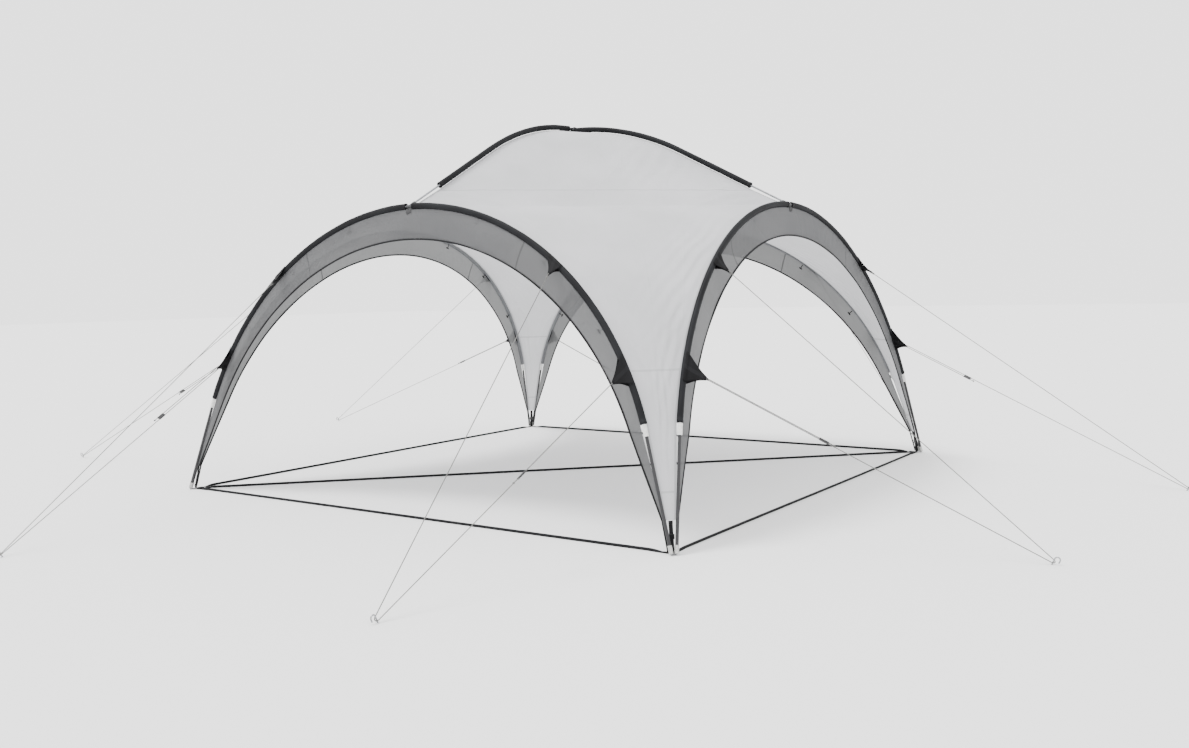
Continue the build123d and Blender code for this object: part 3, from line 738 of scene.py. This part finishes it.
# ---- guys ----
# Braided polyester cord, 4 mm. Each is knotted to the upper patch, goes down round its peg, up to the
# lower patch's loop and back down through its runner, and ends in a stopper knot.
# For each guy: its peg's place along its side and out from it, the runner's place down the lower run as
# a share of it, and the cord's length.
GUYS = {
    "front_left": (-0.960, 1.550, 0.31, 4.500), "front_right": (1.310, 1.375, 0.44, 4.315),
    "right_front": (-1.095, 1.435, 0.36, 4.324), "right_back": (0.970, 1.730, 0.25, 4.734),
    "back_right": (-1.120, 1.600, 0.38, 4.684), "back_left": (1.120, 1.600, 0.34, 4.612),
    "left_back": (-1.270, 1.940, 0.24, 5.088), "left_front": (1.290, 1.950, 0.27, 5.172),
}
# A patch's place up its arch, its length along the sleeve and its reach.
PATCHES = {"low": (0.875, 0.150, 0.120), "high": (1.560, 0.100, 0.095)}
CORD_D = 0.004
PEG_LEAN, LOOP_UP = math.radians(25), 0.014       # a peg's lean, and the cord's height round it
PEG_BEND, EYE_BEND = 0.007, 0.0065
HITCH_IN = 0.0073                                 # from the upper patch's eye to the cord's start
HALF_RUNNER, TAIL = 0.023, 0.028
NEAR = 0.024                                      # control points beside a turn, this far from it


def braid_material(name, lit, worn):
    """Round braid: strands that cross in a diamond, with painted shade in the gaps between them."""
    material, tree, shader = new_material(name)
    place = put(tree, "ShaderNodeTexCoord").outputs["Object"]
    strands = put(tree, "ShaderNodeTexVoronoi", {"Vector": place, "Scale": 520.0}, feature="F1").outputs[0]
    soiling = band(tree, grain(tree, place, 9.0, 4.0), 0.4, 0.7)
    # The colour darkens from each strand's middle out to the gaps between strands: painted shade.
    colour = blend_colours(tree, band(tree, strands, 0.1, 0.7), lit, worn)
    colour = blend_colours(tree, sums(tree, "MULTIPLY", soiling, 0.4), colour, worn)
    tree.links.new(colour, shader.inputs["Base Color"])
    tree.links.new(band(tree, strands, 0.0, 0.8, 0.6, 0.85), shader.inputs["Roughness"])
    bumped(tree, shader, strands, 0.0006, -0.8)
    return material


# The darker grey serves both as soiling and as the painted shade in the gaps between strands.
guy_cord = braid_material("cord_polyester_grey", linear("#747472"), linear("#555553"))


def nurbs(name, points, diameter, material):
    """A round cord along control points."""
    data = bpy.data.curves.new(name, "CURVE")
    data.dimensions = "3D"
    data.bevel_depth = diameter / 2
    data.bevel_resolution = 2
    data.resolution_u = 8
    spline = data.splines.new("NURBS")
    spline.points.add(len(points) - 1)
    for control, point in zip(spline.points, points):
        control.co = (*point, 1.0)
    spline.order_u = 3
    spline.use_endpoint_u = True
    data.materials.append(material)
    return placed(name, data)


def patch_frame(side, end, at, reach, hitch):
    """A patch's middle, the way along its arch, the way it pulls, square to both, and its eye."""
    middle = arch(side, at, end)
    along = arch_axes(side, at, end)[0]
    pull = (hitch - middle).normalized()
    square = along.cross(pull).normalized()
    return middle, along, pull, square, middle + pull * reach


def knot(name, at, along, size, turns, material):
    """An overhand knot's body: a short coil of cord wound about itself."""
    side = along.orthogonal().normalized()
    other = along.cross(side)
    points = []
    for k in range(turns * 8 + 1):
        angle = 2 * math.pi * k / 8
        spread = size * (0.55 + 0.12 * math.sin(angle * 1.5))
        points.append(at + side * (spread * math.cos(angle)) + other * (spread * math.sin(angle))
                      + along * (size * 1.1 * (k / (turns * 8) - 0.5)))
    return nurbs(name, points, CORD_D, material)


guys = {}                 # each guy's frames at its two patches
for index, (name, (place, out, share, cord_length)) in enumerate(GUYS.items()):
    side, end = index // 2, 1 if index % 2 else -1
    peg = turned((0, -math.sin(PEG_LEAN), math.cos(PEG_LEAN)), side)
    ground = turned((place, -HALF - out, 0), side)
    hitch = ground + peg * (LOOP_UP / peg.z)
    low, high = [patch_frame(side, end, at, reach, hitch) for at, _, reach in PATCHES.values()]
    up_high, up_low = (high[4] - hitch).normalized(), (low[4] - hitch).normalized()
    home, across = (up_high + up_low).normalized(), (up_high - up_low).normalized()
    turn_high = hitch - home * PEG_BEND + across * PEG_BEND
    turn_low = hitch - home * PEG_BEND - across * PEG_BEND
    flat = low[1].cross((hitch - low[0]).normalized()).normalized()
    eye_in, eye_out = low[4] + flat * EYE_BEND, low[4] - flat * EYE_BEND
    pegward = (turn_low - eye_in).normalized()
    start = high[4] + (turn_high - high[4]).normalized() * HITCH_IN
    last = eye_out + pegward * ((turn_low - eye_in).length * share + HALF_RUNNER + TAIL)
    points = [start,
              turn_high + (start - turn_high).normalized() * NEAR, turn_high,
              turn_low, turn_low + (eye_in - turn_low).normalized() * NEAR,
              eye_in + pegward * NEAR, eye_in,
              eye_out, eye_out + pegward * NEAR,
              last]
    line = nurbs(f"line_{name}", points, CORD_D, guy_cord)
    finish_piece(line, "guy_cord", f"guy_{name}")
    away = (turn_high - start).normalized()
    hitch_knot = knot(f"hitch_{name}", start + away * 0.014, away, 0.0062, 3, guy_cord)
    aside, eye = high[3], high[4]
    eye_loop = nurbs(f"eye_{name}", [
        start + away * 0.010 + aside * 0.002, start + aside * 0.006 - away * 0.004,
        eye + aside * 0.004 - away * 0.004, eye - aside * 0.004 - away * 0.004,
        start - aside * 0.006 - away * 0.004, start + away * 0.010 - aside * 0.002], CORD_D * 0.9, guy_cord)
    stopper = knot(f"stopper_{name}", last, pegward, 0.0050, 2, guy_cord)
    for piece in (hitch_knot, eye_loop, stopper):
        finish_piece(piece, "guy_cord")
    guys[name] = {"low": low, "high": high}

# ---- guy patches ----
# Triangles of doubled charcoal cloth, sewn round the front of each sleeve, with a webbing loop in the tip.
patch_cloth = cloth_material(
    "patch_polyester_black", linear("#0C0C0D"), linear("#1E1E20"), linear("#101010"), 0.03, 0.003,
    creased=0.0005, across=(-0.005, 0.005), rough=0.72, sheen=0.12)


def guy_patch(name, middle, along, pull, square, long, reach, seed):
    """Both faces of a patch, from one side of the sleeve out to the tip and back, with its loop."""
    rows, places = [], []
    section = []
    for k in range(6):
        angle = math.radians(100 - 13 * k)
        section.append((SLEEVE_R + 0.0006) * Vector((math.cos(angle), math.sin(angle))))
    for k in range(1, 9):
        t = k / 8
        x = 0.0150 + (reach - 0.006 - 0.0150) * t
        section.append(Vector((x, 0.0018 + 0.0126 * (1 - t) ** 2.2)))
    outline = section + [Vector((reach - 0.004, 0.0))] + [Vector((p.x, -p.y)) for p in reversed(section)]
    run = 0.0
    for k, p in enumerate(outline):
        if k:
            run += (p - outline[k - 1]).length
        share = max(0.0, min(1.0, (p.x - 0.012) / (reach - 0.016)))
        wide = long * (1 - share) + 0.016 * share
        row, place = [], []
        for i in range(13):
            t = i / 12 - 0.5
            face = 1 if p.y >= 0 else -1
            pucker = 0.0012 * gusts((t * long, run), 0.03, seed) * (1 - abs(2 * share - 1)) * face
            bow = -0.006 * math.sin(math.pi * share) * (2 * t) * abs(2 * t)
            row.append(middle + along * (t * wide + bow) + pull * p.x + square * (p.y + pucker))
            place.append((t * wide, run))
        rows.append(row)
        places.append(place)
    cloth = grid_mesh(name, rows, places, patch_cloth)
    thick = cloth.modifiers.new("cloth", "SOLIDIFY")
    thick.thickness = 0.0008
    thick.offset = 0.0
    eye = middle + pull * reach
    loop = []
    for k in range(15):
        if k < 4:
            loop.append(eye + pull * (-0.022 + 0.0055 * k) + along * 0.0034)
        elif k > 10:
            loop.append(eye + pull * (-0.022 + 0.0055 * (14 - k)) - along * 0.0034)
        else:
            angle = math.pi * (k - 4) / 6
            loop.append(eye + along * (0.0046 * math.cos(angle)) + pull * (0.0046 * math.sin(angle) + 0.0004))
    tab = strip(f"{name}_tab", loop, [square] * len(loop), 0.0084, 0.0014, black_webbing)
    return cloth, tab


for level, (_, long, reach) in PATCHES.items():
    cloths, tabs = [], []
    for index, (name, guy) in enumerate(guys.items()):
        cloth, tab = guy_patch(f"patch_{level}_{name}", *guy[level][:4], long, reach, index * 1.3)
        cloths.append(cloth)
        tabs.append(tab)
    finish_piece(joined(cloths, f"patches_{level}"), "sleeve_cloth", f"guy_patches_{level}")
    finish_piece(joined(tabs, f"patch_tabs_{level}"), "black_webbing")

# ---- ground straps ----
# Black webbing that holds the feet at their spread: one along each side and one from corner to corner.
# It stands on edge, and twists flat near each corner ring, where it turns back on itself and is sewn.
STRAP_TALL, STRAP_THICK = 0.015, 0.0016
SEWN_RUN, TWIST_RUN = 0.034, 0.075                # doubled part beside a ring, and the twist after it
SEWN_UP = 0.0032


def ground_strap(name, a, b, seed):
    """Strap between two ring centres."""
    along = (b - a).normalized()
    square = Vector((0, 0, 1)).cross(along)
    length = (b - a).length
    centres, widths = [], []

    def put_at(s, z, turn):
        centres.append(a + along * s + Vector((0, 0, z)) + square * (0.0022 * math.sin(1.7 * s + seed)
                       * min(1.0, s / 0.3, (length - s) / 0.3)))
        widths.append(Vector((0, 0, 1)) * math.cos(turn) + square * math.sin(turn))

    wrap = RING_WIRE + STRAP_THICK / 2 + 0.0002
    at = RING_R
    turn_back = ((at + SEWN_RUN, 0.0052), (at + 0.018, 0.0056), (at + 0.008, 0.0058), (at, RING_WIRE + wrap),
                 (at - wrap * 0.8, RING_WIRE + wrap * 0.6), (at - wrap, RING_WIRE),
                 (at - wrap * 0.8, RING_WIRE - wrap * 0.45), (at, 0.0012), (at + 0.010, 0.0018),
                 (at + SEWN_RUN, 0.0030))
    twist = [(at + SEWN_RUN + TWIST_RUN * k / 8, SEWN_UP + (STRAP_TALL / 2 - SEWN_UP) * k / 8,
              math.pi / 2 * (1 - k / 8)) for k in range(1, 8)]
    on_edge = at + SEWN_RUN + TWIST_RUN + 0.004
    for s, z in turn_back:
        put_at(s, z, math.pi / 2)
    for s, z, turn in twist:
        put_at(s, z, turn)
    for k in range(60):
        put_at(on_edge + (length - 2 * on_edge) * k / 59, STRAP_TALL / 2, 0.0)
    for s, z, turn in reversed(twist):
        put_at(length - s, z, turn)
    for s, z in reversed(turn_back):
        put_at(length - s, z, math.pi / 2)
    return strip(name, centres, widths, STRAP_TALL, STRAP_THICK, black_webbing)


straps = [ground_strap(f"strap_{name}", rings[(side + 3) % 4], rings[side], side)
          for side, name in enumerate(SIDES)]
straps.append(ground_strap("strap_diagonal", rings[3], rings[1], 4))
ground = joined(straps, "straps")
finish_piece(ground, "black_webbing", "ground_straps")

# ---- corner webbing ----
# From each corner ring a 20 mm strap goes up, through its ladder buckle and under the canopy's tip. The
# tail comes back down over the buckle, and pulling it tightens the canopy.
WEB_WIDE, WEB_THICK = 0.020, 0.0015
webbing_pieces = []
for side, name in enumerate(CORNERS):
    low = rings[side] + Vector((0, 0, 2 * RING_WIRE))
    tip = turned((HALF - TIP_IN, -HALF + TIP_IN, TIP_UP * math.cos(LEAN)), side)
    along = (tip - low).normalized()
    wide = turned((1, 1, 0), side).normalized()
    outward = along.cross(wide).normalized()
    if outward.dot(turned((1, -1, 0), side)) < 0:
        outward = -outward
    length = (tip - low).length
    middle = length / 2
    path = [(length - 0.002, 0.0), (length - 0.03, 0.0), (middle + 0.02, 0.0), (middle, 0.0),
            (middle - 0.02, 0.0), (0.02, 0.0004), (0.006, 0.0022), (0.0, 0.0034), (-0.0035, 0.0028),
            (-0.0058, 0.0), (-0.0035, -0.0028), (0.0, -0.0034), (0.006, -0.0028), (0.016, -0.0020),
            (0.036, -0.0018)]
    centres = [low + along * s + outward * n for s, n in path]
    strap = strip(f"webbing_{name}", centres, [wide] * len(centres), WEB_WIDE, WEB_THICK, black_webbing)
    tail = [(middle + 0.010, 0.0022), (middle + 0.002, 0.0034), (middle - 0.012, 0.0046),
            (middle - 0.030, 0.0052), (middle - 0.048, 0.0070), (middle - 0.060, 0.0100)]
    centres = [low + along * s + outward * n for s, n in tail]
    tail_end = strip(f"tail_{name}", centres, [wide] * len(centres), WEB_WIDE * 0.96, WEB_THICK,
                     black_webbing)
    webbing_pieces += [strap, tail_end]
finish_piece(joined(webbing_pieces, "webbing"), "black_webbing", "corner_webbing")

# ---- crown ----
# A black strap loops round both roof poles where they cross. The four gores meet on a square patch.
tie_across = Vector((1, -1, 0)).normalized()
tie_wide = Vector((1, 1, 0)).normalized()
tie_centres = []
for k in range(40):
    angle = 2 * math.pi * k / 40
    c, d = math.cos(angle), math.sin(angle)
    x = 0.0168 * math.copysign(abs(c) ** 0.5, c)
    z = 0.0136 * math.copysign(abs(d) ** 0.5, d)
    tie_centres.append(Vector((0, 0, CROWN)) + tie_across * x + Vector((0, 0, z)))
tie = strip("tie", tie_centres, [tie_wide] * 40, 0.014, 0.0018, black_webbing, loop=True)
finish_piece(tie, "black_webbing", "crown_tie")

PATCH_WIDE = 0.150
patch_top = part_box("crown_patch")[1].z
rows, places = [], []
for j in range(21):
    row, place = [], []
    for i in range(21):
        x, y = (i / 20 - 0.5) * PATCH_WIDE, (j / 20 - 0.5) * PATCH_WIDE
        rise = 0.5 * (x * x + y * y) / ROOF_R
        row.append(Vector((x, y, patch_top - 0.0006 - rise + 0.0003 * gusts((x, y), 0.02, 3))))
        place.append((x, y + 10.0))
    rows.append(row)
    places.append(place)
crown_patch = grid_mesh("patch_crown", rows, places, canopy_cloth, hems=[[(1.0, 1.0)] * 21] * 21)
finish_piece(crown_patch, "canopy_cloth", "crown_patch")

# ---- poles, legs and fittings ----
# The rods, tubes, rings, pegs and mouldings keep their CAD shapes and take their real materials here.
def hard_material(name, lit, worn, rough, metal=0.0, scale=60.0, height=0.00008, fine=500.0):
    """Rod, tube or moulding: a mottled tone, and a fine surface drawn out along its length."""
    material, tree, shader = new_material(name)
    place = put(tree, "ShaderNodeTexCoord").outputs["Object"]
    tone = band(tree, grain(tree, place, scale, 5.0), 0.35, 0.7)
    tree.links.new(blend_colours(tree, tone, lit, worn), shader.inputs["Base Color"])
    drawn = grain(tree, put(tree, "ShaderNodeMapping", {
        "Vector": place, "Scale": (1.0, 1.0, 0.04)}).outputs[0], fine, 2.0)
    tree.links.new(band(tree, drawn, 0.3, 0.7, rough - 0.06, rough + 0.10), shader.inputs["Roughness"])
    shader.inputs["Metallic"].default_value = metal
    bumped(tree, shader, drawn, height, 0.6)
    return material


# Pultruded glass fibre rod, satin mid grey, with fibres that run along it.
glass_fibre = hard_material("rod_glass_fibre", linear("#77797C"), linear("#8E9093"), 0.38, fine=900.0)
# Steel tube with dark powder coat: a soft orange peel that breaks up highlights.
painted_steel = hard_material("tube_steel_powder_coated", linear("#141416"), linear("#232326"), 0.42,
                              scale=220.0, height=0.00015)
# Zinc-plated wire: bright with a grey bloom.
zinc_steel = hard_material("wire_steel_zinc", linear("#A9AAAC"), linear("#858689"), 0.34, metal=1.0,
                           scale=300.0)
# Off-white sleeve where the rod enters the leg.
white_plastic = hard_material("ferrule_plastic_white", linear("#DADAD8"), linear("#C6C6C3"), 0.45, scale=90.0)
# Grey moulded foot, scuffed where it stands.
grey_plastic = hard_material("foot_plastic_grey", linear("#B9B9B7"), linear("#8F8F8C"), 0.55, scale=140.0)
# Dark grey nylon of the hubs: a shade lighter than the black sleeves on both sides of it.
hub_nylon = hard_material("hub_nylon_grey", linear("#2C2D2F"), linear("#3C3D3F"), 0.60, scale=160.0)
# Black acetal of the buckles and runners, with a fine moulded texture.
black_plastic = hard_material("moulding_acetal_black", linear("#121213"), linear("#232325"), 0.46,
                              scale=260.0)

dress(glass_fibre, "glass_fibre", *[f"arch_pole_{name}" for name in SIDES],
      "roof_pole_front_back", "roof_pole_left_right")
dress(painted_steel, "painted_steel", "legs")
dress(white_plastic, "white_plastic", "leg_ferrules")
dress(grey_plastic, "grey_plastic", "foot_caps")
dress(zinc_steel, "zinc_steel", "corner_rings", *[f"peg_{name}" for name in GUYS])
dress(hub_nylon, "black_plastic", "apex_hubs")
dress(black_plastic, "black_plastic", *[f"buckle_{name}" for name in CORNERS],
      *[f"runner_{name}" for name in GUYS])

# ---- light and floor ----
# A plain white studio: even light from all round, one broad soft sun from above, and a pale matt floor.
world = bpy.data.worlds.new("studio")
world.use_nodes = True
background = world.node_tree.nodes["Background"].inputs
background["Color"].default_value = (1.0, 1.0, 1.0, 1.0)
background["Strength"].default_value = 2.45
bpy.context.scene.world = world
key_data = bpy.data.lights.new("key", "SUN")
key_data.energy = 4.0
key_data.angle = math.radians(20)
key = placed("key", key_data)
key.rotation_euler = (math.radians(14), math.radians(-22), 0)
floor_mesh = bpy.data.meshes.new("floor")
floor_mesh.from_pydata([(-60, -60, 0), (60, -60, 0), (60, 60, 0), (-60, 60, 0)], [], [(0, 1, 2, 3)])
floor = placed("floor", floor_mesh)
floor_paint, tree, shader = new_material("floor_paint")
shader.inputs["Base Color"].default_value = linear("#DEDEDE")
shader.inputs["Roughness"].default_value = 0.9
floor_mesh.materials.append(floor_paint)
